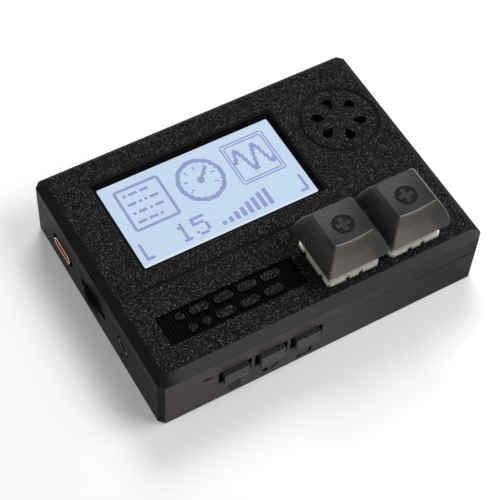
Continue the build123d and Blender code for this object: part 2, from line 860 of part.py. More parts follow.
def switch_base(x):
    half = switch_body / 2
    base = block(x - half, x + half, key_y - half, key_y + half, switch_bottom, case_height)
    flange = chamfer(Rectangle(switch_flange, switch_flange).vertices(), switch_flange_corner)
    base += Pos(x, key_y, case_height) * extrude(flange, amount=switch_flange_thick)
    cavity = half - switch_wall
    base -= block(x - cavity, x + cavity, key_y - cavity, key_y + cavity,
                  switch_floor_top, flange_top + overrun)
    for side in (-1, 1):
        for place in (-1, 1):
            nx = x + place * switch_notch_offset
            edge = key_y + side * switch_flange / 2
            base -= block(nx - switch_notch_width / 2, nx + switch_notch_width / 2,
                          edge - switch_notch_depth, edge + switch_notch_depth,
                          case_height - overrun, flange_top + overrun)
            ny = key_y + place * 2 * switch_notch_offset
            edge = x + side * switch_flange / 2
            base -= block(edge - switch_notch_depth, edge + switch_notch_depth,
                          ny - switch_notch_width / 2, ny + switch_notch_width / 2,
                          case_height - overrun, flange_top + overrun)
    base += drum(x, key_y, switch_bottom - switch_nub_length, switch_floor_top, switch_nub_radius)
    tube_top = stem_bottom - key_travel - moving_gap
    base += drum(x, key_y, switch_floor_top, tube_top, pole_tube_radius)
    bore_floor = stem_bottom - pole_length - key_travel - moving_gap
    base -= drum(x, key_y, bore_floor, tube_top + overrun, pole_radius + running_gap)
    base -= pin_slots(x, switch_bottom - overrun, switch_floor_top + overrun, fit_gap)
    return base


def switch_housing(x):
    # The tapered upper half, open below and round the stem
    def section(inset, z, length, width):
        return Pos(x, key_y, z) * Rectangle(length - 2 * inset, width - 2 * inset)
    shell = loft([section(0, flange_top, housing_base, housing_base),
                  section(0, housing_top, housing_top_length, housing_top_width)], ruled=True)
    shell -= loft([section(switch_wall, flange_top, housing_base, housing_base),
                   section(switch_wall, housing_top - switch_wall, housing_top_length + switch_wall,
                           housing_top_width + switch_wall)], ruled=True)
    half_x = stem_length / 2 + stem_gap
    half_y = stem_width / 2 + stem_gap
    shell -= block(x - half_x, x + half_x, key_y - half_y, key_y + half_y,
                   housing_top - switch_wall - overrun, housing_top + overrun)
    return shell


def cross(x, length, thick, z_low, z_high):
    return (block(x - length / 2, x + length / 2, key_y - thick / 2, key_y + thick / 2, z_low, z_high)
            + block(x - thick / 2, x + thick / 2, key_y - length / 2, key_y + length / 2,
                    z_low, z_high))


def switch_stem(x):
    half_x = stem_length / 2
    half_y = stem_width / 2
    stem = block(x - half_x, x + half_x, key_y - half_y, key_y + half_y, stem_bottom, stem_shoulder)
    half_x += stem_skirt_step
    half_y += stem_skirt_step
    stem += block(x - half_x, x + half_x, key_y - half_y, key_y + half_y, stem_bottom, stem_skirt_top)
    stem += cross(x, cross_length, cross_thick, stem_shoulder, cross_top)
    stem += drum(x, key_y, stem_bottom - pole_length, stem_bottom, pole_radius)
    return stem


def spring_path(x):
    # A rising coil of tangent arcs, two to each quarter turn
    low = switch_floor_top + spring_wire_radius + fit_gap
    high = stem_bottom - spring_wire_radius - fit_gap
    rise = (high - low) / (2 * pi * spring_turns)
    steps = 4 * spring_turns

    def point(angle):
        return Vector(x + spring_radius * cos(angle), key_y + spring_radius * sin(angle),
                      low + rise * angle)

    def heading(angle):
        return Vector(-spring_radius * sin(angle), spring_radius * cos(angle), rise).normalized()
    arcs = []
    for n in range(steps):
        a, b = n * pi / 2, (n + 1) * pi / 2
        start, end, t0, t1 = point(a), point(b), heading(a), heading(b)
        chord = end - start
        lean = chord.dot(t0 + t1)
        turn = 2 * (1 - t0.dot(t1))
        reach = (sqrt(lean * lean + turn * chord.dot(chord)) - lean) / turn
        middle = (start + end + (t0 - t1) * reach) * 0.5
        arcs.append(TangentArc(start, middle, tangent=t0))
        arcs.append(TangentArc(middle, end, tangent=end - start - (t0 + t1) * reach))
    return Wire(arcs)


def switch_spring(x):
    path = spring_path(x)
    start = Plane(origin=path @ 0, z_dir=path % 0)
    return sweep(start * Circle(spring_wire_radius), path=path)


def contact(x, pin_x, pin_y, thick):
    px, py, back = contact_places(x, pin_x, pin_y)
    half = contact_width / 2
    foot_low = switch_floor_top
    blade = block(px - half, px + half, back - thick, back, foot_low, foot_low + contact_height)
    foot = block(px - half, px + half, min(py, back) - thick / 2, back,
                 foot_low, foot_low + contact_foot_thick)
    pin = block(px - contact_pin_width / 2, px + contact_pin_width / 2, py - thick / 2,
                py + thick / 2, switch_bottom - contact_pin_length, foot_low + contact_foot_thick)
    return blade + foot + pin


def keycap(x):
    def body(inset, height, corner_trim):
        sections = []
        for place in keycap_shares:
            share = place * height / keycap_height
            swell = 2 * (4 * share * (1 - share) * keycap_bulge - inset)
            length = keycap_base + (keycap_top_length - keycap_base) * share + swell
            width = keycap_base + (keycap_top_width - keycap_base) * share + swell
            corner = keycap_base_corner + (keycap_top_corner - keycap_base_corner) * share
            sections.append(Pos(x, key_y + keycap_shift * share, keycap_bottom + place * height)
                            * RectangleRounded(length, width, corner - corner_trim))
        return loft(sections)
    cap = body(0, keycap_height, 0)
    cap -= body(keycap_wall, keycap_height - keycap_roof, keycap_base_corner / 2)
    half_chord = keycap_top_length / 2
    dish_radius = (half_chord ** 2 + keycap_dish ** 2) / (2 * keycap_dish)
    cap -= rod_y(x, key_y - keycap_base, key_y + keycap_base,
                 keycap_top - keycap_dish + dish_radius, dish_radius)
    boss_low = stem_shoulder + fit_gap
    cap += drum(x, key_y, boss_low, keycap_top - keycap_roof, keycap_boss_radius)
    cap -= cross(x, cross_length + 2 * fit_gap, cross_thick + 2 * fit_gap, boss_low - overrun,
                 keycap_top - keycap_roof)
    return cap


def main_board():
    board = block(main_board_left, main_board_right, -main_board_half_width, main_board_half_width,
                  main_board_bottom, main_board_top)
    reach = main_board_half_width + overrun
    for low, high in ((-reach, -board_notch_y), (board_notch_y, reach)):
        board -= block(main_board_left - overrun, board_notch_x, low, high,
                       main_board_bottom - overrun, main_board_top + overrun)
    board -= [drum(x, y, main_board_bottom - overrun, main_board_top + overrun, board_hole_radius)
              for x, y in board_screw_places]
    half = header_pin / 2 + fit_gap
    pins = [(x, lcd_header_y()) for x in lcd_header_row()] + key_header_places()
    board -= [block(x - half, x + half, y - half, y + half, main_board_bottom - overrun,
                    main_board_top + overrun) for x, y in pins]
    return board


def board_screws():
    return [drum(x, y, main_board_top - board_screw_length + moving_gap, main_board_top,
                 board_screw_radius)
            + drum(x, y, main_board_top, main_board_top + board_screw_head_height,
                   board_screw_head_radius) for x, y in board_screw_places]


def chip(x, y, size):
    half = size / 2
    body = block(x - half, x + half, y - half, y + half, main_board_top, main_board_top + chip_height)
    return chamfer(body.faces().sort_by(Axis.Z)[-1].edges(), chip_chamfer)


def button(x):
    front = -half_width - button_proud
    back = front_wall_inside + moving_gap
    half = button_width / 2 - button_front_inset
    neck = button_width / 2 - button_neck_inset
    plan = make_face(Polyline(
        (x - neck, back), (x - half, front + button_bevel), (x - half + button_bevel, front),
        (x + half - button_bevel, front), (x + half, front + button_bevel), (x + neck, back),
        close=True))
    cap = extrude(Plane.XY.offset(button_bottom) * plan, amount=button_top - button_bottom)
    half = button_flange_width / 2
    cap += block(x - half, x + half, back, back + button_flange_thick,
                 button_bottom - button_flange_step, button_top + button_flange_step / 2)
    return cap


def plunger_back():
    return front_wall_inside + moving_gap + button_flange_thick


def tact_front():
    return plunger_back() + plunger_length


def plunger(x):
    return rod_y(x, plunger_back(), tact_front() + tact_bore_depth - button_travel - moving_gap,
                 button_mid_z, plunger_radius)


def tact_switch(x):
    body = block(x - tact_width / 2, x + tact_width / 2, tact_front(), tact_front() + tact_depth,
                 main_board_top, main_board_top + tact_height)
    return body - rod_y(x, tact_front() - overrun, tact_front() + tact_bore_depth, button_mid_z,
                        plunger_radius + running_gap)


def usb_outline(inset):
    return SlotOverall(usb_width - 2 * inset, usb_height - 2 * inset)


def usb_plane(x):
    return Plane(origin=(x, usb_y, usb_z), x_dir=(0, 1, 0), z_dir=(1, 0, 0))


def usb_shell():
    tube = extrude(usb_plane(usb_front_x) * usb_outline(0), amount=usb_length)
    return tube - extrude(usb_plane(usb_front_x - overrun) * usb_outline(usb_sheet),
                          amount=usb_length + 2 * overrun)


def usb_tongue():
    rear = usb_front_x + usb_length
    root = extrude(usb_plane(rear - tongue_root) * usb_outline(usb_sheet + fit_gap),
                   amount=tongue_root)
    return root + block(usb_front_x + tongue_setback, rear - tongue_root,
                        usb_y - tongue_width / 2, usb_y + tongue_width / 2,
                        usb_z - tongue_thick / 2, usb_z + tongue_thick / 2)


def usb_contacts():
    strips = []
    low_x = usb_front_x + tongue_setback + usb_contact_thick
    for n in range(usb_contact_count):
        y = usb_y + (n - (usb_contact_count - 1) / 2) * usb_contact_pitch
        z = usb_z + tongue_thick / 2
        strips.append(block(low_x, low_x + usb_contact_length, y - usb_contact_width / 2,
                            y + usb_contact_width / 2, z, z + usb_contact_thick))
    return strips


def volume_wheel():
    points = []
    root = wheel_radius - wheel_tooth_depth
    for n in range(wheel_teeth):
        for share, radius in zip(wheel_tooth_shares, (root, wheel_radius, wheel_radius, root)):
            angle = 2 * pi * (n + share) / wheel_teeth
            points.append((wheel_x + radius * cos(angle), wheel_y + radius * sin(angle)))
    wheel = extrude(Plane.XY.offset(wheel_bottom) * make_face(Polyline(*points, close=True)),
                    amount=wheel_top - wheel_bottom)
    wheel -= drum(wheel_x, wheel_y, wheel_bottom - overrun, wheel_top - wheel_roof, wheel_cup_radius)
    wheel += drum(wheel_x, wheel_y, main_board_top + moving_gap, wheel_top, wheel_hub_radius)
    return wheel - drum(wheel_x, wheel_y, wheel_top - wheel_screw_length - fit_gap,
                        wheel_top + overrun, wheel_screw_radius + fit_gap)


def wheel_screw():
    head_top = wheel_top + wheel_screw_head_height
    screw = drum(wheel_x, wheel_y, wheel_top - wheel_screw_length, wheel_top, wheel_screw_radius)
    screw += drum(wheel_x, wheel_y, wheel_top, head_top, wheel_screw_head_radius)
    half = wheel_screw_radius / 3
    return screw - block(wheel_x - wheel_screw_head_radius, wheel_x + wheel_screw_head_radius,
                         wheel_y - half, wheel_y + half, head_top - wheel_screw_head_height / 2,
                         head_top + overrun)


def volume_pot():
    body = drum(wheel_x, wheel_y, main_board_top, main_board_top + pot_height, pot_radius)
    body += block(wheel_x, wheel_x + pot_tail_length, wheel_y - pot_tail_width / 2,
                  wheel_y + pot_tail_width / 2, main_board_top, main_board_top + pot_tail_thick)
    return body - drum(wheel_x, wheel_y, main_board_top - overrun,
                       main_board_top + pot_height + overrun, wheel_hub_radius + running_gap)


def jack_front():
    return left_wall_inside + moving_gap / 2


def jack_body():
    front = jack_front()
    back = front + jack_body_length
    low = jack_z - jack_body_height / 2
    body = block(front, back, jack_y - jack_body_width / 2, jack_y + jack_body_width / 2,
                 low, low + jack_body_height)
    body += rod_x(-half_length, front, jack_y, jack_z, jack_nose_radius)
    body -= rod_x(-half_length - overrun, -half_length + jack_tip_depth, jack_y, jack_z, jack_bore)
    body -= rod_x(-half_length - overrun, -half_length + jack_sleeve_length, jack_y, jack_z,
                  jack_sleeve_radius)
    for place in jack_contact_boxes():
        body -= block(*place)
    return body


def jack_sleeve():
    tube = rod_x(-half_length, -half_length + jack_sleeve_length, jack_y, jack_z,
                 jack_sleeve_radius - fit_gap)
    return tube - rod_x(-half_length - overrun, -half_length + jack_sleeve_length + overrun,
                        jack_y, jack_z, jack_bore)


def jack_contact_boxes():
    # Flat strips in slots on both sides of the bore and over it
    start = -half_length + jack_sleeve_length + jack_contact_thick
    end = start + jack_contact_length
    out = jack_bore + jack_contact_thick
    half = jack_contact_width / 2
    return [(start, end, jack_y + jack_bore, jack_y + out, jack_z - half, jack_z + half),
            (start, end, jack_y - out, jack_y - jack_bore, jack_z - half, jack_z + half),
            (start, end, jack_y - half, jack_y + half, jack_z + jack_bore, jack_z + out)]


def jack_contacts():
    return [block(*place) for place in jack_contact_boxes()]


def speaker_flange_low():
    return roof_under - gasket_thick - speaker_flange_thick


def speaker_gasket():
    ring = drum(speaker_x, speaker_y, roof_under - gasket_thick, roof_under, speaker_radius)
    return ring - drum(speaker_x, speaker_y, roof_under - gasket_thick - overrun,
                       roof_under + overrun, speaker_radius - gasket_width)


def speaker_frame():
    top = roof_under - gasket_thick
    flange_low = speaker_flange_low()
    low = top - speaker_depth
    inner = speaker_radius - gasket_width
    profile = [(speaker_radius, top), (speaker_radius, flange_low), (inner, flange_low),
               (speaker_back_radius, low), (0, low), (0, low + speaker_sheet),
               (speaker_back_radius - speaker_sheet / 2, low + speaker_sheet),
               (inner - speaker_sheet, flange_low + speaker_sheet / 2), (inner - speaker_sheet, top)]
    section = Plane.XZ * make_face(Polyline(*profile, close=True))
    frame = Pos(speaker_x, speaker_y, 0) * revolve(section, Axis.Z)
    left = speaker_lead_x - speaker_terminal_length / 2
    frame += block(left, left + speaker_terminal_length, speaker_y - speaker_terminal_width / 2,
                   speaker_y + speaker_terminal_width / 2, flange_low - speaker_terminal_thick,
                   flange_low)
    return frame


def speaker_cone():
    top = roof_under - gasket_thick - fit_gap
    inner = speaker_radius - gasket_width - speaker_sheet - fit_gap
    waist = cone_dome_radius
    dip = top - speaker_flange_thick - cone_thick
    rim = [(inner, top), (inner - cone_thick * 3, top), (waist, dip)]
    under = [(waist, dip - cone_thick), (inner - cone_thick * 3, top - cone_thick),
             (inner, top - cone_thick)]
    dome = dip + speaker_flange_thick
    section = Plane.XZ * make_face(
        Polyline(rim[0], rim[1], rim[2]) + Line(rim[2], (0, dome)) + Line((0, dome), (0, dome - cone_thick))
        + Line((0, dome - cone_thick), under[0]) + Polyline(under[0], under[1], under[2], rim[0]))
    return Pos(speaker_x, speaker_y, 0) * revolve(section, Axis.Z)


def speaker_magnet():
    low = roof_under - gasket_thick - speaker_depth
    magnet = drum(speaker_x, speaker_y, low - magnet_height, low, magnet_radius)
    return chamfer(magnet.faces().sort_by(Axis.Z)[0].edges(), chip_chamfer)


def rounded_path(points):
    runs = [Vector(b) - Vector(a) for a, b in zip(points, points[1:])]
    radii = []
    for before, after in zip(runs, runs[1:]):
        turn = before.get_angle(after)
        shorter = min(before.length, after.length)
        radii.append(bend_share * shorter / tan(radians(turn / 2)))
    print("lead radii", [round(r, 2) for r in radii])
    return FilletPolyline(*points, radius=radii)


def speaker_leads():
    leads = []
    start_z = speaker_flange_low() - speaker_terminal_thick
    for side in (-1, 1):
        y = speaker_y + side * lead_spacing / 2
        points = [(speaker_lead_x, y, start_z),
                  (speaker_lead_x, y, start_z - speaker_lead_drop),
                  (speaker_lead_end_x, y, start_z - speaker_lead_drop),
                  (speaker_lead_end_x, y, main_board_top)]
        path = rounded_path(points)
        leads.append(sweep(Plane(origin=path @ 0, z_dir=path % 0) * Circle(lead_radius), path=path))
    return leads


def battery_low():
    return main_board_top + pad_thick


def battery_cell():
    cell = block(battery_left, battery_left + battery_length, battery_front,
                 battery_front + battery_width, battery_low(), battery_low() + battery_thick)
    return fillet(cell.edges().filter_by(Axis.Y), battery_edge)


def battery_pad():
    return block(battery_left + pad_end_margin, battery_left + battery_length - pad_end_margin,
                 battery_front + pad_side_margin, battery_front + battery_width - pad_side_margin,
                 main_board_top, main_board_top + pad_thick)


def socket_hollow(gap):
    half = socket_width / 2 - socket_wall - gap
    return (battery_plug_x - half, battery_plug_x + half, socket_front + socket_wall + gap,
            socket_front + socket_depth + plug_reach, main_board_top + socket_wall + gap,
            main_board_top + socket_height - socket_wall - gap)


def battery_socket():
    half = socket_width / 2
    body = block(battery_plug_x - half, battery_plug_x + half, socket_front,
                 socket_front + socket_depth, main_board_top, main_board_top + socket_height)
    return body - block(*socket_hollow(0))


def battery_plug():
    return block(*socket_hollow(plug_gap))


def battery_leads():
    z = main_board_top + socket_height / 2
    low = socket_front + socket_depth + plug_reach
    return [rod_y(battery_plug_x + side * lead_spacing / 2, low, battery_front, z, lead_radius)
            for side in (-1, 1)]


def save(name, shapes):
    group = shapes if isinstance(shapes, list) else [shapes]
    solids = [solid for shape in group for solid in shape.solids()]
    export_step(solids[0] if len(solids) == 1 else Compound(solids), f"parts/{name}.step")
    print(name, len(solids))


def main():
    os.makedirs("parts", exist_ok=True)
    save("top_cover", top_cover())
    save("bottom_case", bottom_case())
    save("case_screws", case_screws())
    save("threaded_inserts", threaded_inserts())
    save("lcd_glass", lcd_glass())
    save("lcd_backlight", lcd_backlight())
    save("lcd_board", lcd_board())
    save("lcd_screws", lcd_screws())
    header_body, header_pins = lcd_header()
    save("lcd_header_block", header_body)
    save("lcd_header_pins", header_pins)
    save("key_board", key_board())
    header_body, header_pins = key_header()
    save("key_header_block", header_body)
    save("key_header_pins", header_pins)
    for side, x in key_places.items():
        save(f"{side}_keycap", keycap(x))
        save(f"{side}_switch_stem", switch_stem(x))
        save(f"{side}_switch_spring", switch_spring(x))
        save(f"{side}_switch_housing", switch_housing(x))
        save(f"{side}_switch_base", switch_base(x))
        save(f"{side}_leaf_contact", contact(x, leaf_pin_x, leaf_pin_y, leaf_thick))
        save(f"{side}_fixed_contact", contact(x, fixed_pin_x, fixed_pin_y, fixed_contact_thick))
    for name, x in zip(("menu", "mode", "back"), button_places):
        save(f"{name}_button", button(x))
        save(f"{name}_plunger", plunger(x))
        save(f"{name}_switch", tact_switch(x))
    save("main_board", main_board())
    save("board_screws", board_screws())
    save("processor_chip", chip(processor_x, processor_y, processor_size))
    save("amplifier_chip", chip(amplifier_x, amplifier_y, amplifier_size))
    save("charger_chip", chip(charger_x, charger_y, charger_size))
    save("usb_shell", usb_shell())
    save("usb_tongue", usb_tongue())
    save("usb_contacts", usb_contacts())
    save("volume_wheel", volume_wheel())
    save("wheel_screw", wheel_screw())
    save("volume_pot", volume_pot())
    save("jack_body", jack_body())
    save("jack_sleeve", jack_sleeve())
    save("jack_contacts", jack_contacts())
    save("speaker_gasket", speaker_gasket())
    save("speaker_frame", speaker_frame())
    save("speaker_cone", speaker_cone())
    save("speaker_magnet", speaker_magnet())
    save("speaker_leads", speaker_leads())
    save("battery_cell", battery_cell())
    save("battery_pad", battery_pad())
    save("battery_socket", battery_socket())
    save("battery_plug", battery_plug())
    save("battery_leads", battery_leads())


main()
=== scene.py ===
from math import cos, hypot, pi, radians, sin

import bmesh
import bpy
from mathutils import Matrix, Vector


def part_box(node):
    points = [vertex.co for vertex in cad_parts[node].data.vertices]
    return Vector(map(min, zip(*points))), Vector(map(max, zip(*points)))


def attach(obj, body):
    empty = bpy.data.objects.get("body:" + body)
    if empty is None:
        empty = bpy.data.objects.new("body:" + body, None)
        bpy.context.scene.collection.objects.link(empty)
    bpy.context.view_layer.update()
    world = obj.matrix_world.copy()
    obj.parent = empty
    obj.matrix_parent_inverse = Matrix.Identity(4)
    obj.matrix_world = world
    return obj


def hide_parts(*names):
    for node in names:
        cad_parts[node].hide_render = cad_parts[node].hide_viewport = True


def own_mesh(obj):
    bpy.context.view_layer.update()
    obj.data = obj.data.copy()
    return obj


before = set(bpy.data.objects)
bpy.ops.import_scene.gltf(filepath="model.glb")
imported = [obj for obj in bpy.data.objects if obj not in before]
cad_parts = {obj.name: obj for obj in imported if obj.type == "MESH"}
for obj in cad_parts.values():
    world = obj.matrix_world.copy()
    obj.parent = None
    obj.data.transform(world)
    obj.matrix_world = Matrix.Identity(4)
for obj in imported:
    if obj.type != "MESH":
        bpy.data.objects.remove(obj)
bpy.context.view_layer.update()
mm = 0.001
roughSpread = 0.2   # of the fine noise in every roughness


# Shader maths written as plain sums on node outputs
class Link:
    def __init__(self, owner, socket):
        self.owner, self.socket = owner, socket

    def other(self, name):
        # another output of the same node
        return Link(self.owner, self.socket.node.outputs[name])

    def maths(self, operation, *values):
        return self.owner.node("ShaderNodeMath", {"operation": operation}, dict(enumerate(values)))

    def __add__(self, other):
        return self.maths("ADD", self, other)

    def __radd__(self, other):
        return self.maths("ADD", other, self)

    def __sub__(self, other):
        return self.maths("SUBTRACT", self, other)

    def __rsub__(self, other):
        return self.maths("SUBTRACT", other, self)

    def __mul__(self, other):
        return self.maths("MULTIPLY", self, other)

    def __rmul__(self, other):
        return self.maths("MULTIPLY", other, self)

    def __truediv__(self, other):
        return self.maths("DIVIDE", self, other)

    def size(self):
        return self.maths("ABSOLUTE", self)

    def part(self):
        return self.maths("FRACT", self)

    def least(self, other):
        return self.maths("MINIMUM", self, other)

    def most(self, other):
        return self.maths("MAXIMUM", self, other)

    def clamp(self):
        return self.most(0.0).least(1.0)

    def contrast(self, gain):
        return ((self - 0.5) * gain + 0.5).clamp()

    def around(self, level):
        return self * roughSpread + (level - roughSpread / 2)

    def __gt__(self, other):
        return self.maths("GREATER_THAN", self, other)

    def __lt__(self, other):
        return self.maths("LESS_THAN", self, other)


class NodeTree:
    def __init__(self, tree):
        self.tree = tree

    def plug(self, socket, value):
        if isinstance(value, Link):
            self.tree.links.new(value.socket, socket)
        elif isinstance(value, (tuple, list)) and len(value) == 3 and socket.type == "RGBA":
            socket.default_value = (*value, 1.0)
        else:
            socket.default_value = value

    def node(self, kind, settings=None, inputs=None, out=0):
        made = self.tree.nodes.new(kind)
        for name, value in (settings or {}).items():
            setattr(made, name, value)
        for name, value in (inputs or {}).items():
            self.plug(made.inputs[name], value)
        return Link(self, made.outputs[out])

    def output(self, name, socket, value):
        self.plug(self.tree.nodes[name].inputs[socket], value)

    def showing(self):
        # 1 where the eye, or a gloss or glass that it looks into, meets the background
        eye = self.node("ShaderNodeLightPath", out="Is Camera Ray")
        return eye.most(eye.other("Is Glossy Ray")).most(eye.other("Is Transmission Ray"))


class Finish(NodeTree):
    def __init__(self, name, **sockets):
        self.material = bpy.data.materials.new(name)
        self.material.use_nodes = True
        super().__init__(self.material.node_tree)
        self.shader = self.tree.nodes["Principled BSDF"]
        self.place = self.node("ShaderNodeTexCoord", out="Object")
        self.set(sockets)

    def set(self, sockets):
        for name, value in sockets.items():
            self.plug(self.shader.inputs[name.replace("_", " ")], value)

    def axes(self):
        x = self.node("ShaderNodeSeparateXYZ", {}, {"Vector": self.place})
        return x, x.other("Y"), x.other("Z")

    def noise(self, scale, detail=2.0, stretch=(1, 1, 1)):
        where = self.node("ShaderNodeMapping", {}, {"Vector": self.place, "Scale": stretch})
        return self.node("ShaderNodeTexNoise", {}, {"Vector": where, "Scale": scale, "Detail": detail})

    def grains(self, scale):
        # the distance from the middle of each grain
        return self.node("ShaderNodeTexVoronoi", {}, {"Vector": self.place, "Scale": scale})

    def blend(self, factor, first, second):
        # inputs 6 and 7 and output 2 are the colours of this node
        return self.node("ShaderNodeMix", {"data_type": "RGBA"}, {0: factor, 6: first, 7: second}, 2)

    def bump(self, height, edge=0.0):
        # heights and the rounding of sharp edges are in metres
        inputs = {"Strength": 1.0, "Distance": 1.0, "Height": height}
        if edge:
            inputs["Normal"] = self.node("ShaderNodeBevel", {"samples": 4}, {"Radius": edge})
        self.set({"Normal": self.node("ShaderNodeBump", {}, inputs)})
        return self


def dress(finish, name):
    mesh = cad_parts[name].data
    mesh.materials.clear()
    mesh.materials.append(finish.material)


def putInScene(name, data):
    made = bpy.data.objects.new(name, data)
    bpy.context.scene.collection.objects.link(made)
    return made


def finishMesh(bm, name, finish):
    mesh = bpy.data.meshes.new(name)
    bm.to_mesh(mesh)
    bm.free()
    mesh.materials.append(finish.material)
    return putInScene(name, mesh)


def sortFaces(bm):
    # extrude and spin leave the faces in another order each run
    bm.verts.index_update()
    many = len(bm.verts)

    def lowCorners(face):
        first, second, third = sorted(v.index for v in face.verts)[:3]
        return (first * many + second) * many + third

    bm.faces.sort(key=lowCorners)


def closeUp(bm, name, finish):
    # fill the open ends, turn all faces outwards and make a piece of the case of it
    bmesh.ops.holes_fill(bm, edges=[edge for edge in bm.edges if edge.is_boundary], sides=0)
    bmesh.ops.recalc_face_normals(bm, faces=bm.faces)
    sortFaces(bm)
    piece = finishMesh(bm, name, finish)
    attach(piece, "case")
    return piece


# Printed case: grainy on top, layered on the sides
printSettings = {
    "black": (0.0014, 0.0014, 0.0014),   # top face
    "dusty": (0.0036, 0.0036, 0.0035),
    # painted highlight along the grain's ridges
    "ridge": (0.066, 0.065, 0.064),
    # painted glints on some grains of the top face
    "glint": (0.340, 0.336, 0.330),
    "topFace": 20.9 * mm,
    "topReach": 0.04 * mm,
    "grainScale": 3100,
    "grainDepth": 0.07 * mm,
    "dustShare": 0.6,      # of the grain, the rest is of the cloud
    "ridgeScale": 3000,
    "ridgeSlope": 17.0,
    "ridgeGain": 1.6,
    "glintFrom": 0.58,
    "glintSlope": 2.4,
    "glintReach": 0.46,
    "glintEdge": 4.0,
    "sideDark": (0.0150, 0.0140, 0.0131),   # outer walls, mottled between these two
    "side": (0.0222, 0.0208, 0.0195),
    "cloudScale": 160,
    "cloudShare": 0.6,     # of the cloud, the rest is of the streaks
    "streakScale": 900,
    "streakStretch": (0.05, 0.05, 1.0),
    "layer": 0.2 * mm,
    "layerDepth": 0.006 * mm,
    "gloss": 0.02,
    "sheen": 0.12,
    "sheenRough": 0.28,
    # painted light on the front wall, fading from its left end
    "paintedFrontLight": (0.0745, 0.0665, 0.0630),   # front wall, from its left end to its middle
    "frontLightTo": 31.0 * mm,
    "frontLightFade": 38.0 * mm,
    "frontLightMottle": 0.3,
    # painted shade on the left wall
    "leftWallShade": (0.0100, 0.0096, 0.0092),
    "leftSheen": 0.1,
    "rightSheen": 0.25,       # at the right end of the front wall
    "rightFade": 17.0 * mm,
    # buttons: painted shade on the sides, painted light on the front, each mottled between two colours
    "buttonDark": (0.0160, 0.0156, 0.0152),
    "button": (0.0620, 0.0606, 0.0594),
    "buttonFront": (0.1250, 0.1230, 0.1220),
    "buttonFrontDark": (0.0500, 0.0490, 0.0485),
    "buttonGrain": 1900,
    "buttonContrast": 3.0,
    "buttonProud": 1.2 * mm,
    "buttonRough": 0.4,
    "bevel": (0.0170, 0.0165, 0.0160),
    # painted light on the front bevel
    "paintedBevelLight": (0.0680, 0.0668, 0.0655),
    "bevelFrom": 18.5 * mm,
    # painted shade: a dark band just under the bevel
    "stepShade": (0.0050, 0.0049, 0.0048),
    "stepHigh": 0.22 * mm,
    "foot": 0.45 * mm,
    "halfLength": 48.5 * mm,
    "halfWidth": 35.9 * mm,
    "cornerSum": 82.8 * mm,   # of both distances from the middle, on the cut-off corners
    "cutFrom": 0.24 * mm,     # deeper than this is a mark or an opening
    "bevelLightFrom": -46.5 * mm,
    "bevelLightFade": 4.5 * mm,
    "corner": (0.0110, 0.0106, 0.0102),
    "cornerDull": 0.7,
    "edge": 0.12 * mm,
    "roughTop": 0.50,
    "roughSide": 0.34,
    "roughBevel": 0.75,
    "roughRecess": 1.0,
    # painted shade in marks, holes and grooves, less of it in the shallow grooves of the top
    "recess": (0.0050, 0.0049, 0.0048),
    "groove": (0.0170, 0.0166, 0.0162),
    "grooveDepth": 0.6 * mm,
    "grooveFrom": -10.2 * mm,
}


def wallColours(finish, cloud, streaks):
    s = printSettings
    share = s["cloudShare"]
    return finish.blend(cloud * share + streaks * (1 - share), s["sideDark"], s["side"])


def buttonFinish(finish, streaks):
    # darker on its sides than on its front: painted shade on the sides and painted light on the front
    s = printSettings
    y = finish.axes()[1]
    rough = finish.noise(s["buttonGrain"]).contrast(s["buttonContrast"])
    sides = finish.blend(rough, s["buttonDark"], s["button"])
    front = finish.blend(rough, s["buttonFrontDark"], s["buttonFront"])
    finish.set({"Base_Color": finish.blend(y < -s["halfWidth"] - s["buttonProud"], sides, front),
                "Roughness": streaks.around(s["buttonRough"]), "Coat_Weight": s["sheen"]})


def topColours(finish, cloud, grain, ridge):
    s = printSettings
    grains = finish.grains(s["grainScale"])
    # painted glints: some grains get a bright colour where they would catch the light
    glintGrains = (grains.other("Color") - s["glintFrom"]) * s["glintSlope"]   # only some grains shine
    spot = (s["glintReach"] - grains) * s["glintEdge"]
    ground = finish.blend(grain * s["dustShare"] + cloud * (1 - s["dustShare"]), s["black"], s["dusty"])
    # painted highlight: lighter along the grain's ridges
    ridgeHighlight = finish.blend(ridge * grain * s["ridgeGain"], ground, s["ridge"])
    return finish.blend(glintGrains.clamp() * spot.clamp(), ridgeHighlight, s["glint"])


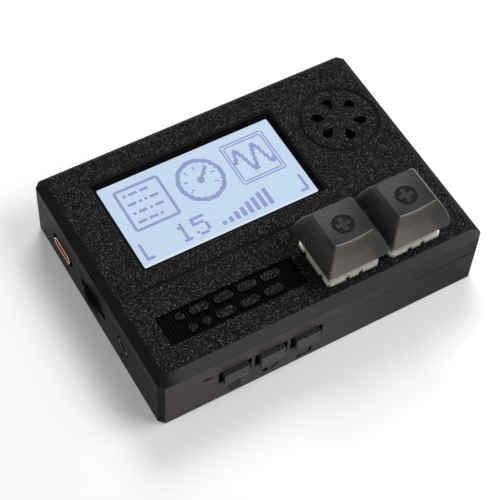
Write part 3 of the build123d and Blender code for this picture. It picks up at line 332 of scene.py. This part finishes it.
def printedFinish(name, textured):
    s = printSettings
    finish = Finish(name, Specular_IOR_Level=s["gloss"], Coat_Roughness=s["sheenRough"])
    x, y, z = finish.axes()
    cloud = finish.noise(s["cloudScale"], detail=3.0)
    streaks = finish.noise(s["streakScale"], detail=1.0, stretch=s["streakStretch"])
    turn = z * (2 * pi / s["layer"])
    side = turn.maths("SINE", turn) * s["layerDepth"] / 2 + streaks * s["layerDepth"]
    if not textured:
        buttonFinish(finish, streaks)
        return finish.bump(side, s["edge"])

    # where the top face, the outer skin, the bevel, the corners and the recesses are
    top = z > s["topFace"] - s["topReach"]
    straight = (s["halfLength"] - x.size()).least(s["halfWidth"] - y.size())
    inset = straight.least((s["cornerSum"] - x.size() - y.size()) * 0.5)
    slope = (z - s["bevelFrom"]).most(0.0)
    skin = (inset - slope < s["cutFrom"]).most(z < s["foot"])
    outer = (1 - top) * skin
    recess = (1 - top) - outer
    bevel = outer * (z > s["bevelFrom"])
    corner = outer * (straight > slope + s["cutFrom"])
    # painted shade in a band just under the bevel
    step = (z < s["bevelFrom"]) * (z > s["bevelFrom"] - s["stepHigh"])
    groove = (z > s["topFace"] - s["grooveDepth"]) * (y > s["grooveFrom"])
    front = y < s["cutFrom"] - s["halfWidth"]
    left = x < s["cutFrom"] - s["halfLength"]

    # painted light on the front bevel and on the left of the front wall
    bevelHigh = s["topFace"] - s["bevelFrom"]
    paintedBevelLight = (y < bevelHigh - s["halfWidth"]) * ((x - s["bevelLightFrom"]) / s["bevelLightFade"]).clamp()
    mottle = cloud * s["frontLightMottle"] + (1 - s["frontLightMottle"] / 2)
    paintedFrontLight = front * ((s["frontLightTo"] - x) / s["frontLightFade"]).clamp() * mottle
    toRight = ((x - s["frontLightTo"]) / s["rightFade"]).clamp()
    dull = left * (1 - s["leftSheen"]) + front * toRight * (1 - s["rightSheen"])

    grain = finish.noise(s["grainScale"])
    worm = finish.noise(s["ridgeScale"]) - 0.5
    ridge = (1 - worm.size() * s["ridgeSlope"]).clamp()
    bevelColour = finish.blend(paintedBevelLight, s["bevel"], s["paintedBevelLight"])
    # painted shade: the left wall darker
    wallColour = finish.blend(left, wallColours(finish, cloud, streaks), s["leftWallShade"])
    # painted light on the front wall
    wallColour = finish.blend(step, finish.blend(paintedFrontLight, wallColour, s["paintedFrontLight"]), s["stepShade"])
    wallColour = finish.blend(bevel, finish.blend(corner, wallColour, s["corner"]), bevelColour)
    # painted shade in the recesses
    recessShade = finish.blend(groove, s["recess"], s["groove"])
    sideColour = finish.blend(outer, recessShade, wallColour)
    rough = grain.around(s["roughSide"])
    for area, level in ((top, s["roughTop"]), (bevel, s["roughBevel"]), (recess, s["roughRecess"])):
        rough = rough + area * (level - s["roughSide"])
    sheen = (outer - bevel) * (1 - corner * s["cornerDull"]) * (1 - dull) * s["sheen"]
    finish.set({"Base_Color": finish.blend(top, sideColour, topColours(finish, cloud, grain, ridge)),
                "Coat_Weight": sheen, "Roughness": rough})
    return finish.bump(top * (grain + ridge) * s["grainDepth"] + (1 - top) * side, s["edge"])


# Moulded plastics and rubbers, each with its colour, roughness, mottling, and grain size and depth
plasticSettings = {
    "milkyHousing": ((0.82, 0.80, 0.76), 0.3, 0.05, 900, 0.001 * mm,
                     {"Transmission_Weight": 0.35, "IOR": 1.5}),
    "whiteBase": ((0.88, 0.85, 0.78), 0.35, 0.06),
    "paleStem": ((0.45, 0.44, 0.42), 0.35, 0.05),
    "chipBlack": ((0.02, 0.02, 0.022), 0.5, 0.3, 3000, 0.01 * mm),
    "headerBlack": ((0.015, 0.015, 0.015), 0.35),
    "jackBlack": ((0.006, 0.006, 0.006), 0.45, 0.15, 1800, 0.004 * mm, {"Specular_IOR_Level": 0.1}),
    "wheelBlack": ((0.004, 0.004, 0.004), 0.6, 0.25, 1800, 0.004 * mm, {"Specular_IOR_Level": 0.08}),
    "potBrown": ((0.10, 0.06, 0.03), 0.5),
    "portTongue": ((0.80, 0.10, 0.03), 0.4, 0.1),
    "socketWhite": ((0.75, 0.72, 0.65), 0.4, 0.05),
    "coneFilm": ((0.03, 0.03, 0.032), 0.45, 0.2, 600, 0.02 * mm),
    "gasketFoam": ((0.02, 0.02, 0.02), 0.85, 0.4, 5000, 0.05 * mm),
    "lightPlate": ((0.78, 0.82, 0.85), 0.4, 0.03),
    "displayEdge": ((0.006, 0.008, 0.012), 0.3, 0.1, 1800, 0.004 * mm, {"Specular_IOR_Level": 0.08}),
    "wireRed": ((0.45, 0.02, 0.02), 0.45, 0.08),
}
# Metals, each with its colour and roughness, and the depth of its scratches if they are deeper
metalSettings = {
    "springSteel": ((0.62, 0.62, 0.63), 0.3),
    "darkScrew": ((0.10, 0.10, 0.105), 0.42),
    "turnedBrass": ((0.72, 0.52, 0.22), 0.3),
    "goldPins": ((0.86, 0.62, 0.26), 0.25),
    "copperLeaf": ((0.80, 0.45, 0.25), 0.3),
    "pressedSteel": ((0.45, 0.45, 0.46), 0.4),
    "cellPouch": ((0.70, 0.71, 0.73), 0.38, 0.03 * mm),
}
mottleShare = 1 / 6   # of the grain's scale
scratchScale = 2500
tintScale = 300
tintDark = 0.85


def shaded(colour, amount):
    return tuple(min(c * amount, 1.0) for c in colour)


def mouldedFinish(name, colour, roughness, spread=0.15, grain=1800, depth=0.004 * mm, sockets=None):
    finish = Finish(name, **(sockets or {}))
    cloud = finish.noise(grain * mottleShare, detail=3.0)
    fine = finish.noise(grain)
    finish.set({"Base_Color": finish.blend(cloud, shaded(colour, 1 - spread), shaded(colour, 1 + spread)),
                "Roughness": fine.around(roughness)})
    return finish.bump(fine * depth)


def metalFinish(name, colour, roughness, depth=0.002 * mm):
    finish = Finish(name, Metallic=1.0)
    scratches = finish.noise(scratchScale)
    tint = finish.noise(tintScale)
    finish.set({"Base_Color": finish.blend(tint, shaded(colour, tintDark), colour),
                "Roughness": scratches.around(roughness)})
    return finish.bump(scratches * depth)


# Shell of the charging port: painted light at the lip, painted shade on the sleeve, and orange inside
portSettings = {
    "lip": (1.0, 0.86, 0.79),
    "sleeveShade": (0.10, 0.075, 0.065),
    "inside": (0.62, 0.085, 0.030),
    "lipFrom": -48.77 * mm,
    "middleY": 18.991 * mm,
    "middleZ": 8.9 * mm,
    "insideReach": 1.45 * mm,
    "insideHalf": 2.87 * mm,   # of its straight middle
    "rough": 0.55,
    "scratchStretch": (1, 0.1, 0.1),
    "scratchDepth": 0.002 * mm,
}


def portFinish(name):
    s = portSettings
    finish = Finish(name, Metallic=1.0)
    x, y, z = finish.axes()
    scratches = finish.noise(scratchScale, stretch=s["scratchStretch"])
    aside = ((y - s["middleY"]).size() - s["insideHalf"]).most(0.0)
    high = z - s["middleZ"]
    inside = aside * aside + high * high < s["insideReach"] ** 2
    sleeveShade = finish.blend(inside, s["sleeveShade"], s["inside"])
    finish.set({"Base_Color": finish.blend(x < s["lipFrom"], sleeveShade, s["lip"]),
                "Roughness": scratches.around(s["rough"])})
    return finish.bump(scratches * s["scratchDepth"])


# Smoky keycaps, with the dark socket and its cross showing through the roof
capSettings = {
    "roof": (0.250, 0.247, 0.244),
    "roofDark": (0.150, 0.148, 0.146),
    "roofScale": 2600,
    "roofContrast": 4.0,
    # painted shade on the roof
    "roofShade": (0.085, 0.084, 0.083),   # towards the user and the right
    "roofFade": 8.0 * mm,
    "roofMiddle": 0.4,
    "roofLean": 0.35,
    # painted shade on the left and right walls
    "flankShade": (0.150, 0.142, 0.135),      # left and right walls
    "wall": (0.185, 0.173, 0.163),
    "wallLit": (0.370, 0.342, 0.320),   # towards the left of each front wall
    "wallReach": 14.0 * mm,
    "wallDark": 0.7,
    "cloudScale": 200,
    "fineScale": 1700,
    "fineRough": 0.08,
    # painted highlight along the roof's front edge
    "rim": (0.80, 0.79, 0.78),
    "rimY": -28.78 * mm,
    "rimHalf": 0.13 * mm,
    "rimReach": 5.5 * mm,
    "disc": (0.0005, 0.0005, 0.0005),
    "cross": (0.085, 0.084, 0.083),
    "smoke": (0.62, 0.60, 0.58),
    "density": 300.0,
    "seeThrough": 0.70,
    "bend": 1.20,
    "gloss": 0.12,
    "roughRoof": 0.42,
    "roughWall": 0.17,
    "grainDepth": 0.07 * mm,
    "edge": 0.18 * mm,
    "keysX": (10.4 * mm, 29.45 * mm),
    "keysY": -23.5 * mm,
    "discRadius": 3.0 * mm,
    "crossReach": 2.1 * mm,
    "crossThick": 0.62 * mm,
    "discFrom": 34.1 * mm,
}


def smokyFinish(name):
    s = capSettings
    finish = Finish(name, Transmission_Weight=s["seeThrough"], IOR=s["bend"],
                    Specular_IOR_Level=s["gloss"])
    fine = finish.noise(s["fineScale"])
    cloud = finish.noise(s["cloudScale"])
    x, y, z = finish.axes()
    leftX, rightX = s["keysX"]
    offset = x - leftX - (x > (leftX + rightX) / 2) * (rightX - leftX)
    aside, along = offset.size(), (y - s["keysY"]).size()
    roof = z > s["discFrom"]
    disc = roof * (aside * aside + along * along < s["discRadius"] ** 2)
    arms = ((aside < s["crossThick"]) * (along < s["crossReach"])).most(
        (along < s["crossThick"]) * (aside < s["crossReach"]))

    walls = finish.blend(cloud, shaded(s["wall"], s["wallDark"]), s["wall"])
    walls = finish.blend((0.5 - offset / s["wallReach"]).clamp(), walls, s["wallLit"])
    # painted shade on the left and right walls
    walls = finish.blend(aside > along, walls, s["flankShade"])
    speckles = finish.noise(s["roofScale"], detail=1.0).contrast(s["roofContrast"])
    # painted shade: the roof darker towards the user and the right
    back = ((y - s["keysY"] - offset * s["roofLean"]) / s["roofFade"] + s["roofMiddle"]).clamp()
    roofColour = finish.blend(back, s["roofShade"], finish.blend(speckles, s["roofDark"], s["roof"]))
    shown = finish.blend(roof * (y > s["rimY"] - s["rimHalf"]), walls, roofColour)
    shown = finish.blend(disc, shown, finish.blend(arms, s["disc"], s["cross"]))
    # painted highlight: a bright line along the roof's front edge
    rim = roof * ((y - s["rimY"]).size() < s["rimHalf"]) * (aside < s["rimReach"])
    rough = roof * (s["roughRoof"] - s["roughWall"]) + fine * s["fineRough"] + s["roughWall"]
    finish.set({"Base_Color": finish.blend(rim, shown, s["rim"]), "Roughness": rough})
    smoke = finish.node("ShaderNodeVolumeAbsorption", {}, {"Color": s["smoke"], "Density": s["density"]})
    finish.output("Material Output", "Volume", smoke)
    return finish.bump(roof * fine * s["grainDepth"], s["edge"])


# Circuit boards: solder mask over a faint web of copper tracks
boardSettings = {
    "mask": (0.004, 0.006, 0.010),
    "copper": (0.012, 0.016, 0.024),
    "webScale": 220,
    "rings": 9.0,
    "trackWide": 0.35,
    "trackHigh": 0.03 * mm,
    "rough": 0.3,
    "trackRough": 0.1,
    "sheen": 0.4,
}


def boardFinish(name):
    s = boardSettings
    finish = Finish(name, Coat_Weight=s["sheen"])
    cells = finish.node("ShaderNodeTexVoronoi", {"distance": "MANHATTAN", "feature": "F1"},
                        {"Vector": finish.place, "Scale": s["webScale"]})
    track = (cells * s["rings"]).part() < s["trackWide"]
    finish.set({"Base_Color": finish.blend(track, s["mask"], s["copper"]),
                "Roughness": s["rough"] + track * s["trackRough"]})
    return finish.bump(track * s["trackHigh"])


# Which finish each piece of the model takes
dressing = {
    "printedShell": ("top_cover", "bottom_case"),
    "printedButton": ("menu_button", "mode_button", "back_button"),
    "smokyCap": ("left_keycap", "right_keycap"),
    "milkyHousing": ("left_switch_housing", "right_switch_housing"),
    "whiteBase": ("left_switch_base", "right_switch_base"),
    "paleStem": ("left_switch_stem", "right_switch_stem"),
    "copperLeaf": ("left_leaf_contact", "left_fixed_contact", "right_leaf_contact",
                   "right_fixed_contact", "jack_contacts"),
    "displayEdge": ("lcd_glass",),
    "lightPlate": ("lcd_backlight",),
    "solderMask": ("lcd_board", "key_board", "main_board"),
    "headerBlack": ("lcd_header_block", "key_header_block"),
    "goldPins": ("lcd_header_pins", "key_header_pins", "usb_contacts"),
    "darkScrew": ("case_screws", "lcd_screws", "board_screws", "wheel_screw", "jack_sleeve"),
    "turnedBrass": ("threaded_inserts",),
    "chipBlack": ("processor_chip", "amplifier_chip", "charger_chip", "menu_switch", "mode_switch",
                  "back_switch"),
    "portSteel": ("usb_shell",),
    "portTongue": ("usb_tongue",),
    "wheelBlack": ("volume_wheel",),
    "potBrown": ("volume_pot",),
    "jackBlack": ("jack_body",),
    "pressedSteel": ("speaker_frame", "speaker_magnet"),
    "coneFilm": ("speaker_cone",),
    "gasketFoam": ("speaker_gasket", "battery_pad"),
    "wireRed": ("speaker_leads", "battery_leads"),
    "cellPouch": ("battery_cell",),
    "socketWhite": ("battery_socket", "battery_plug", "menu_plunger", "mode_plunger", "back_plunger"),
}

print("finishes")
finishes = {
    "printedShell": printedFinish("printedShell", True),
    "printedButton": printedFinish("printedButton", False),
    "smokyCap": smokyFinish("smokyCap"),
    "portSteel": portFinish("portSteel"),
    "solderMask": boardFinish("solderMask"),
}
for name, values in plasticSettings.items():
    finishes[name] = mouldedFinish(name, *values)
for name, values in metalSettings.items():
    finishes[name] = metalFinish(name, *values)
for name, pieces in dressing.items():
    for piece in pieces:
        dress(finishes[name], piece)


# Springs of the key switches, built at rest; on the real keys they shorten as the keys go down
springSettings = {
    "wire": 0.17 * mm,
    "turns": 5,
    "turnSteps": 24,
    "sides": 8,
    "travel": 4.0 * mm,
}


def coilSpring(side):
    s = springSettings
    low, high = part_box(f"{side}_switch_spring")
    middle = (low + high) / 2
    steps = s["turns"] * s["turnSteps"]
    rise = (high.z - low.z - 2 * s["wire"]) / steps
    bm = bmesh.new()
    bmesh.ops.create_circle(bm, cap_ends=True, radius=s["wire"], segments=s["sides"])
    bmesh.ops.rotate(bm, cent=(0, 0, 0), matrix=Matrix.Rotation(pi / 2, 3, "X"), verts=bm.verts)
    start = Vector((high.x - s["wire"], middle.y, low.z + s["wire"]))
    bmesh.ops.translate(bm, vec=start, verts=bm.verts)
    bmesh.ops.spin(bm, geom=bm.verts[:] + bm.edges[:] + bm.faces[:], cent=(middle.x, middle.y, 0),
                   axis=(0, 0, 1), dvec=(0, 0, rise), angle=2 * pi * s["turns"], steps=steps)
    piece = closeUp(bm, f"{side}KeySpring", finishes["springSteel"])
    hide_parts(f"{side}_switch_spring")
    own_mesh(piece)


print("springs")
for side in ("left", "right"):
    coilSpring(side)


# Lit display: one face for each of its dots
displaySettings = {
    "columns": 128,
    "rows": 64,
    "low": (-35.10 * mm, -2.70 * mm),
    "high": (17.45 * mm, 25.40 * mm),
    "base": 19.0 * mm,
    "thick": 0.05 * mm,
    "lit": (0.600, 0.740, 0.900),
    "litDim": (0.545, 0.680, 0.850),
    "ink": (0.235, 0.270, 0.560),
    "edge": (0.008, 0.016, 0.030),
    "edgeWidth": 0.03 * mm,
    "cornerRadius": 0.5 * mm,
    "fringe": (0.800, 0.900, 0.950),
    "fringeWidth": 0.9 * mm,
    "glow": 0.80,
    "rough": 0.3,
    "gloss": 0.1,
    "dotGap": 0.08,
    "cloudScale": 45,
    "under": (0.02, 0.03, 0.04),   # unlit colour under the glow
    "underShare": 0.85,
}
# What the display shows, in its dots: places from the lower left, then sizes
pictureSettings = {
    "card": (8, 25, 33, 33, 2),
    "signals": ("122", "2112", "1212", "221"),   # 1 is short and 2 is long
    "signalPlace": (13, 51),
    "signalWide": {"1": 2, "2": 6},
    "signalHigh": 2,
    "signalGap": 2,
    "signalDrop": 7,
    "dial": (64, 41),
    "dialRing": (16.5, 13.5),
    "dialHub": 2.6,
    "dialMarks": (-30, 10, 50, 90, 130, 170, 210),
    "dialMarkReach": (9.5, 11.5),
    "needle": (71, 48, 2),
    "waveFrames": ((87, 25, 33, 33), (89, 27, 29, 29)),
    "waveFrom": 91,
    "waveTo": 117,
    "waveMiddle": 41,
    "waveHigh": 9,
    "wavePitch": 0.48,
    "waveLine": 2,
    "number": "15",
    "numberPlace": (30, 5),
    "numberSize": 2,
    "levels": (3, 4, 6, 7, 9, 10, 12, 13),
    "levelPlace": (60, 5),
    "levelWide": 3,
    "levelStep": 5,
    "cornerMarks": ((4, 4, 2, 13), (4, 4, 6, 2), (122, 4, 2, 13), (118, 4, 6, 2)),
}
digitDots = {
    "1": ("00100", "01100", "00100", "00100", "00100", "00100", "01110"),
    "5": ("11111", "10000", "11110", "00001", "00001", "10001", "01110"),
}


class DotPicture:
    def __init__(self, columns, rows):
        self.columns, self.rows = columns, rows
        self.dots = set()

    def bar(self, x, y, wide, high):
        for i in range(wide):
            for j in range(high):
                self.dots.add((x + i, y + j))

    def frameBox(self, x, y, wide, high, line=1):
        self.bar(x + 1, y, wide - 2, line)
        self.bar(x + 1, y + high - line, wide - 2, line)
        self.bar(x, y + 1, line, high - 2)
        self.bar(x + wide - line, y + 1, line, high - 2)

    def ring(self, middle, outer, inner):
        for x in range(self.columns):
            for y in range(self.rows):
                if inner <= hypot(x - middle[0], y - middle[1]) <= outer:
                    self.dots.add((x, y))

    def line(self, x0, y0, x1, y1, wide=1):
        steps = int(max(abs(x1 - x0), abs(y1 - y0))) + 1
        for n in range(steps + 1):
            x = round(x0 + (x1 - x0) * n / steps)
            y = round(y0 + (y1 - y0) * n / steps)
            self.bar(x, y, wide, wide)

    def digits(self, number, place, size):
        x, y = place
        for digit in number:
            rows = digitDots[digit]
            for row, pattern in enumerate(rows):
                for column, on in enumerate(pattern):
                    if on == "1":
                        self.bar(x + column * size, y + (len(rows) - 1 - row) * size, size, size)
            x += (len(rows[0]) + 1) * size


def drawDots():
    s = pictureSettings
    picture = DotPicture(displaySettings["columns"], displaySettings["rows"])
    # a card with short and long signals
    picture.frameBox(*s["card"])
    startX, startY = s["signalPlace"]
    for row, signals in enumerate(s["signals"]):
        x = startX
        for signal in signals:
            wide = s["signalWide"][signal]
            picture.bar(x, startY - row * s["signalDrop"], wide, s["signalHigh"])
            x += wide + s["signalGap"]
    # a speed dial with its needle and marks
    dialX, dialY = s["dial"]
    picture.ring(s["dial"], *s["dialRing"])
    picture.ring(s["dial"], s["dialHub"], 0)
    near, far = s["dialMarkReach"]
    for angle in s["dialMarks"]:
        across, up = cos(radians(angle)), sin(radians(angle))
        picture.line(dialX + near * across, dialY + near * up, dialX + far * across, dialY + far * up)
    picture.line(dialX, dialY, *s["needle"])
    # a framed wave
    for box in s["waveFrames"]:
        picture.frameBox(*box)
    height = s["waveMiddle"]
    for x in range(s["waveFrom"], s["waveTo"]):
        level = s["waveMiddle"] + round(s["waveHigh"] * sin((x - s["waveFrom"]) * s["wavePitch"]))
        picture.line(x - 1, height, x, level, s["waveLine"])
        height = level
    # a number, a row of levels and the corner marks
    picture.digits(s["number"], s["numberPlace"], s["numberSize"])
    levelX, levelY = s["levelPlace"]
    for n, high in enumerate(s["levels"]):
        picture.bar(levelX + n * s["levelStep"], levelY, s["levelWide"], high)
    for mark in s["cornerMarks"]:
        picture.bar(*mark)
    return picture.dots


def displayPicture():
    s = displaySettings
    dots = drawDots()
    bm = bmesh.new()
    bmesh.ops.create_grid(bm, x_segments=s["columns"], y_segments=s["rows"], size=0.5)
    ink = bm.loops.layers.float_color.new("ink")
    for face in bm.faces:
        spot = face.calc_center_median()
        cell = (int((spot.x + 0.5) * s["columns"]), int((spot.y + 0.5) * s["rows"]))
        level = 1.0 if cell in dots else 0.0
        for loop in face.loops:
            loop[ink] = (level, level, level, 1.0)
    (x0, y0), (x1, y1) = s["low"], s["high"]
    bmesh.ops.scale(bm, vec=(x1 - x0, y1 - y0, 1), verts=bm.verts)
    bmesh.ops.translate(bm, vec=((x0 + x1) / 2, (y0 + y1) / 2, s["base"] + s["thick"]), verts=bm.verts)
    rim = [edge for edge in bm.edges if edge.is_boundary]
    walls = bmesh.ops.extrude_edge_only(bm, edges=rim)["geom"]
    feet = [v for v in walls if isinstance(v, bmesh.types.BMVert)]
    bmesh.ops.translate(bm, vec=(0, 0, -s["thick"]), verts=feet)
    closeUp(bm, "displayPicture", displayFinish())


def displayFinish():
    s = displaySettings
    finish = Finish("litDisplay", Roughness=s["rough"], Specular_IOR_Level=s["gloss"],
                    Emission_Strength=s["glow"])
    x, y = finish.axes()[:2]
    (x0, y0), (x1, y1) = s["low"], s["high"]
    ink = finish.node("ShaderNodeAttribute", {"attribute_name": "ink"}, out="Fac")
    across = ((x - x0) * (s["columns"] / (x1 - x0))).part()
    along = ((y - y0) * (s["rows"] / (y1 - y0))).part()
    inDot = (across > s["dotGap"]) * (along > s["dotGap"])
    # how far a point is out of the rounded lit field
    inset = s["edgeWidth"] + s["cornerRadius"]
    outX = ((x - (x0 + x1) / 2).size() - ((x1 - x0) / 2 - inset)).most(0.0)
    outY = ((y - (y0 + y1) / 2).size() - ((y1 - y0) / 2 - inset)).most(0.0)
    rim = outX * outX + outY * outY > s["cornerRadius"] ** 2
    # the backlight is brighter along the near edge
    near = (1 - (y - y0 - s["edgeWidth"]) / s["fringeWidth"]).clamp()
    ground = finish.blend(finish.noise(s["cloudScale"], detail=1.0), s["litDim"], s["lit"])
    ground = finish.blend(near, ground, s["fringe"])
    shown = finish.blend(rim, finish.blend(ink * inDot, ground, s["ink"]), s["edge"])
    finish.set({"Base_Color": finish.blend(s["underShare"], shown, s["under"]), "Emission_Color": shown})
    return finish


print("display")
displayPicture()


# Floor, light and camera
stageSettings = {
    "floorTone": 0.90,
    "floorMottle": 0.995,
    "floorScale": 30,
    "floorRough": 0.9,
    "floorGloss": 0.2,
    "floorHalf": 4.0,
    "floorLift": 0.20,
    "world": 0.22,
    "backdrop": (0.8, 0.8, 0.8),
    "boxDistance": 0.8,
    # for each soft box: degrees round from straight in front to the right, degrees up, size,
    # power and whether it shows in glossy faces
    "softBoxes": ((148.0, 52.0, 0.35, 3.2, False), (58.0, 52.0, 0.44, 3.2, True)),
    "sensor": 36.0,
    "clip": (0.01, 20.0),
    "cameraPlace": (-0.1313, -0.1953, 0.3454),
    "cameraRight": (0.8646, -0.5007, 0.0420),
    "cameraUp": (0.3944, 0.7280, 0.5608),
    "lens": 109.14,
}


def floorFinish():
    s = stageSettings
    finish = Finish("paleFloor", Roughness=s["floorRough"], Specular_IOR_Level=s["floorGloss"])
    grain = finish.noise(s["floorScale"])
    tone = (s["floorTone"],) * 3
    finish.set({"Base_Color": finish.blend(grain, shaded(tone, s["floorMottle"]), tone)})
    plain = Link(finish, finish.shader.outputs[0])
    lift = finish.node("ShaderNodeEmission", {}, {"Color": (1.0, 1.0, 1.0), "Strength": s["floorLift"]})
    lifted = finish.node("ShaderNodeAddShader", {}, {0: plain, 1: lift})
    shown = finish.node("ShaderNodeMixShader", {}, {0: finish.showing(), 1: plain, 2: lifted})
    finish.output("Material Output", "Surface", shown)
    return finish


def layFloor():
    bm = bmesh.new()
    bmesh.ops.create_grid(bm, x_segments=1, y_segments=1, size=stageSettings["floorHalf"])
    finishMesh(bm, "floor", floorFinish())


def lightStage():
    s = stageSettings
    scene = bpy.context.scene
    world = bpy.data.worlds.new("softRoom")
    world.use_nodes = True
    scene.world = world
    nodes = NodeTree(world.node_tree)
    room = nodes.node("ShaderNodeBackground", {}, {"Color": (1.0, 1.0, 1.0), "Strength": s["world"]})
    pale = nodes.node("ShaderNodeBackground", {}, {"Color": s["backdrop"], "Strength": 1.0})
    shown = nodes.node("ShaderNodeMixShader", {}, {0: nodes.showing(), 1: room, 2: pale})
    nodes.output("World Output", "Surface", shown)
    for azimuth, elevation, size, power, mirrored in s["softBoxes"]:
        lamp = bpy.data.lights.new("softBox", "AREA")
        lamp.shape, lamp.size, lamp.energy = "SQUARE", size, power
        box = putInScene("softBox", lamp)
        box.visible_glossy = mirrored
        turn, rise = radians(azimuth), radians(elevation)
        heading = Vector((sin(turn) * cos(rise), -cos(turn) * cos(rise), sin(rise)))
        box.location = heading * s["boxDistance"]
        box.rotation_euler = heading.to_track_quat("Z", "Y").to_euler()
    scene.view_settings.view_transform = "Standard"


def placeCamera():
    s = stageSettings
    lens = bpy.data.cameras.new("camera")
    lens.lens, lens.sensor_width = s["lens"], s["sensor"]
    lens.clip_start, lens.clip_end = s["clip"]
    camera = putInScene("camera", lens)
    right, up = Vector(s["cameraRight"]).normalized(), Vector(s["cameraUp"]).normalized()
    back = right.cross(up)
    camera.matrix_world = Matrix.Translation(s["cameraPlace"]) @ Matrix(
        (right, up, back)).transposed().to_4x4()
    bpy.context.scene.camera = camera


print("stage")
layFloor()
lightStage()
placeCamera()
